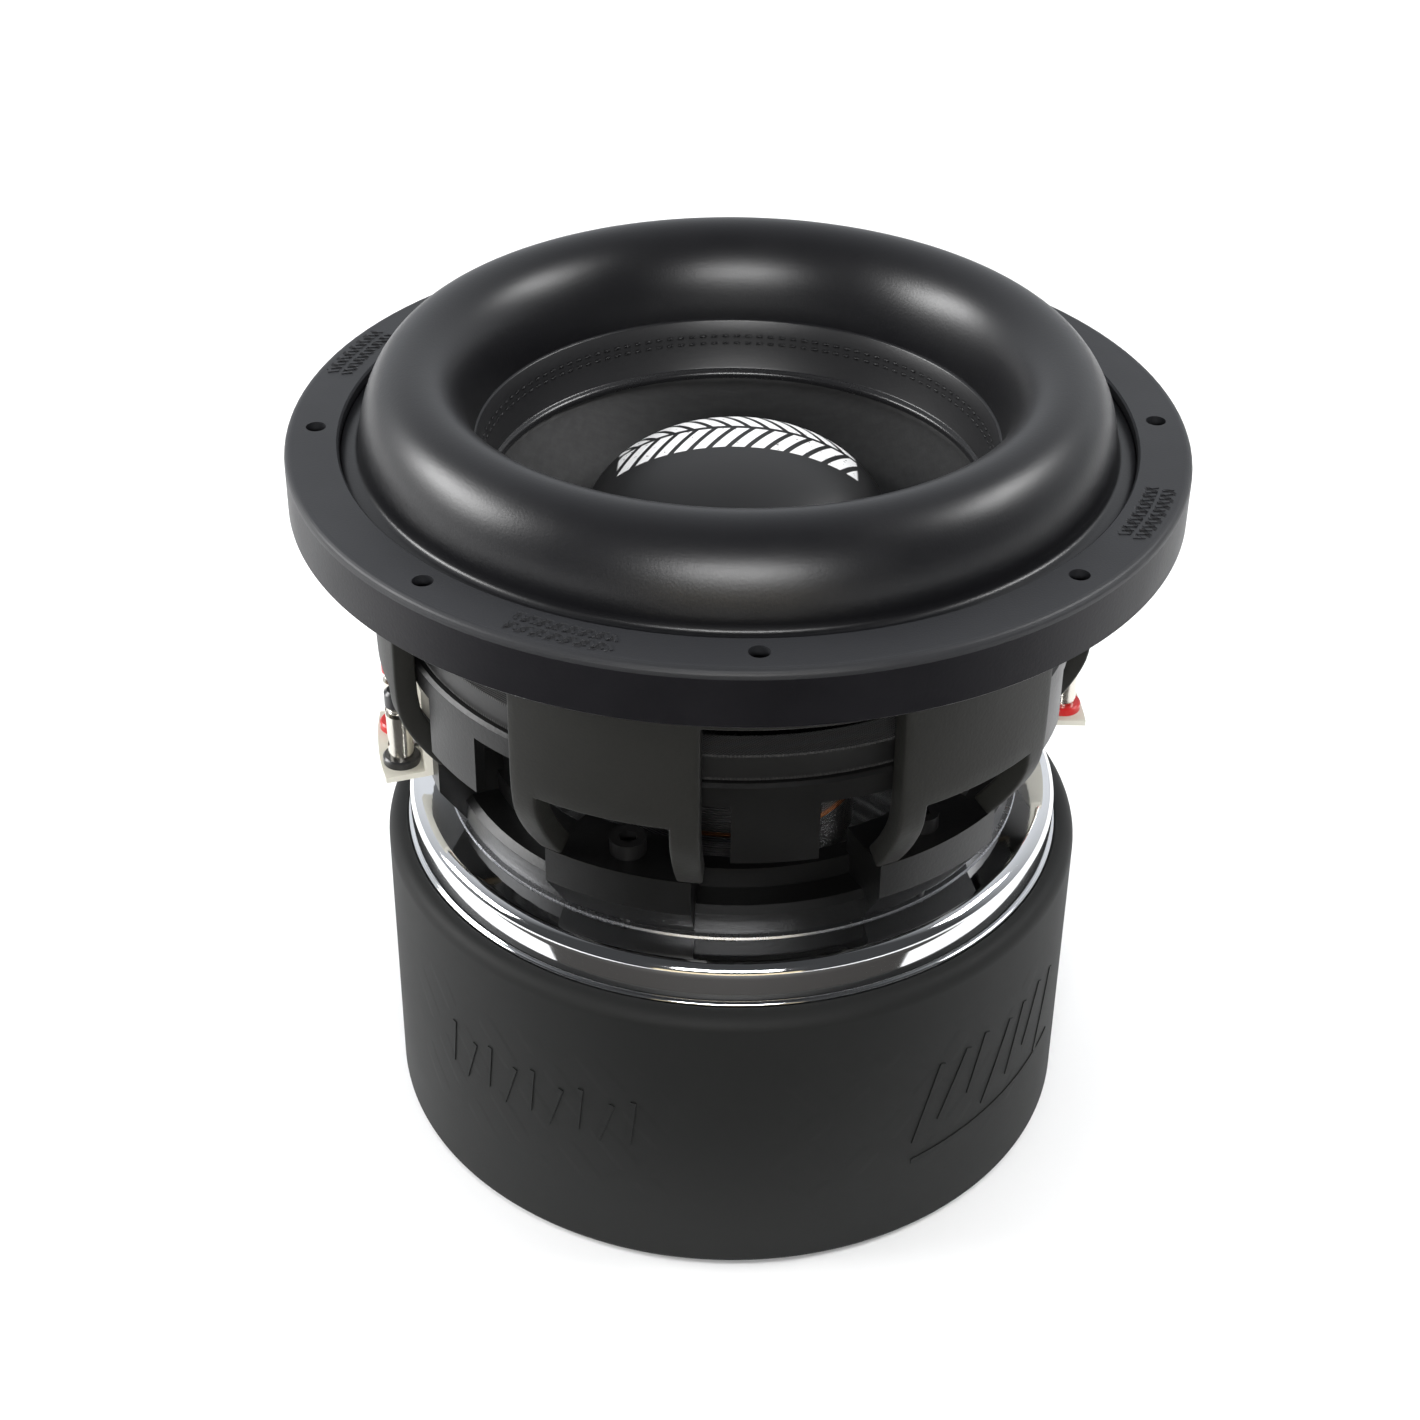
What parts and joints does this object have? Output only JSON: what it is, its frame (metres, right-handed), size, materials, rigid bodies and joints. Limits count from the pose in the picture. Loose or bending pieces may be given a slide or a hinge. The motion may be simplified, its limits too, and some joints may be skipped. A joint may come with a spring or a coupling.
{
  "type": "car subwoofer speaker",
  "caption": "Round long-throw loudspeaker: flanged spoked basket, tall half-roll surround, domed cap, polished plate and magnets in a rubber boot.",
  "frame": {"origin": "centre of the boot's underside", "axes": "+Z along the cone's axis, out of the mounting face; -Y is the front"},
  "size_m": [0.27, 0.27, 0.2626],
  "materials": {
    "black_casting": "matt black paint on a casting",
    "gasket_rubber": "satin dark grey",
    "surround_foam": "satin black",
    "cone_paper": "pressed paper, black",
    "dust_cap_plastic": "satin black",
    "former_foil": "black anodised foil",
    "copper": "enamelled copper",
    "spider_cloth": "impregnated cloth, black",
    "spacer_plastic": "matt",
    "tinsel": "braided",
    "terminal_plastic": "moulded, ivory",
    "nickel": "nickel plate",
    "button_red": "gloss red",
    "button_black": "gloss black",
    "spring_steel": "bright",
    "black_steel": "black oxide",
    "polished_plate": "mirror polish",
    "ferrite": "ground ferrite",
    "yoke_steel": "zinc plate",
    "boot_rubber": "matt moulded rubber"
  },
  "bodies": {
    "basket": {"basket_flange": "black_casting", "basket_skirt": "black_casting", "basket_spoke_1": "black_casting", "basket_spoke_2": "black_casting", "basket_spoke_3": "black_casting", "basket_spoke_4": "black_casting", "basket_spoke_5": "black_casting", "basket_spoke_6": "black_casting", "basket_shelf": "black_casting", "basket_base_ring": "black_casting", "gasket": "gasket_rubber", "surround": "surround_foam", "spider_upper": "spider_cloth", "spider_spacer": "spacer_plastic", "spider_lower": "spider_cloth", "tinsel_leads_right": "tinsel", "tinsel_leads_left": "tinsel", "terminal_base_right": "terminal_plastic", "terminal_base_left": "terminal_plastic", "terminal_posts_right": "nickel", "terminal_posts_left": "nickel", "button_spring_right_red": "spring_steel", "button_spring_right_black": "spring_steel", "button_spring_left_red": "spring_steel", "button_spring_left_black": "spring_steel", "terminal_screws": "spring_steel", "basket_screws": "black_steel", "top_plate": "polished_plate", "magnet_1": "ferrite", "magnet_2": "ferrite", "magnet_3": "ferrite", "magnet_4": "ferrite", "yoke": "yoke_steel", "pole_sleeve": "copper", "vent_screen": "black_steel", "motor_boot": "boot_rubber"},
    "cone_assembly": {"cone": "cone_paper", "dust_cap": "dust_cap_plastic", "coil_former": "former_foil", "coil_winding": "copper", "coil_collar": "former_foil"},
    "button_right_red": {"push_button_right_red": "button_red"},
    "button_right_black": {"push_button_right_black": "button_black"},
    "button_left_red": {"push_button_left_red": "button_red"},
    "button_left_black": {"push_button_left_black": "button_black"}
  },
  "joints": [
    {"name": "cone_travel", "type": "slide", "parent": "basket", "child": "cone_assembly", "axis": [0, 0, 1], "range_m": [-0.018, 0.018], "stiffness_N_per_m": 9000, "deforming": ["surround", "spider_upper", "spider_lower", "tinsel_leads_right", "tinsel_leads_left"]},
    {"name": "press_right_red", "type": "slide", "parent": "basket", "child": "button_right_red", "axis": [0, 0, 1], "range_m": [-0.003, 0], "stiffness_N_per_m": 800, "deforming": ["button_spring_right_red"]},
    {"name": "press_right_black", "type": "slide", "parent": "basket", "child": "button_right_black", "axis": [0, 0, 1], "range_m": [-0.003, 0], "stiffness_N_per_m": 800, "deforming": ["button_spring_right_black"]},
    {"name": "press_left_red", "type": "slide", "parent": "basket", "child": "button_left_red", "axis": [0, 0, 1], "range_m": [-0.003, 0], "stiffness_N_per_m": 800, "deforming": ["button_spring_left_red"]},
    {"name": "press_left_black", "type": "slide", "parent": "basket", "child": "button_left_black", "axis": [0, 0, 1], "range_m": [-0.003, 0], "stiffness_N_per_m": 800, "deforming": ["button_spring_left_black"]}
  ]
}
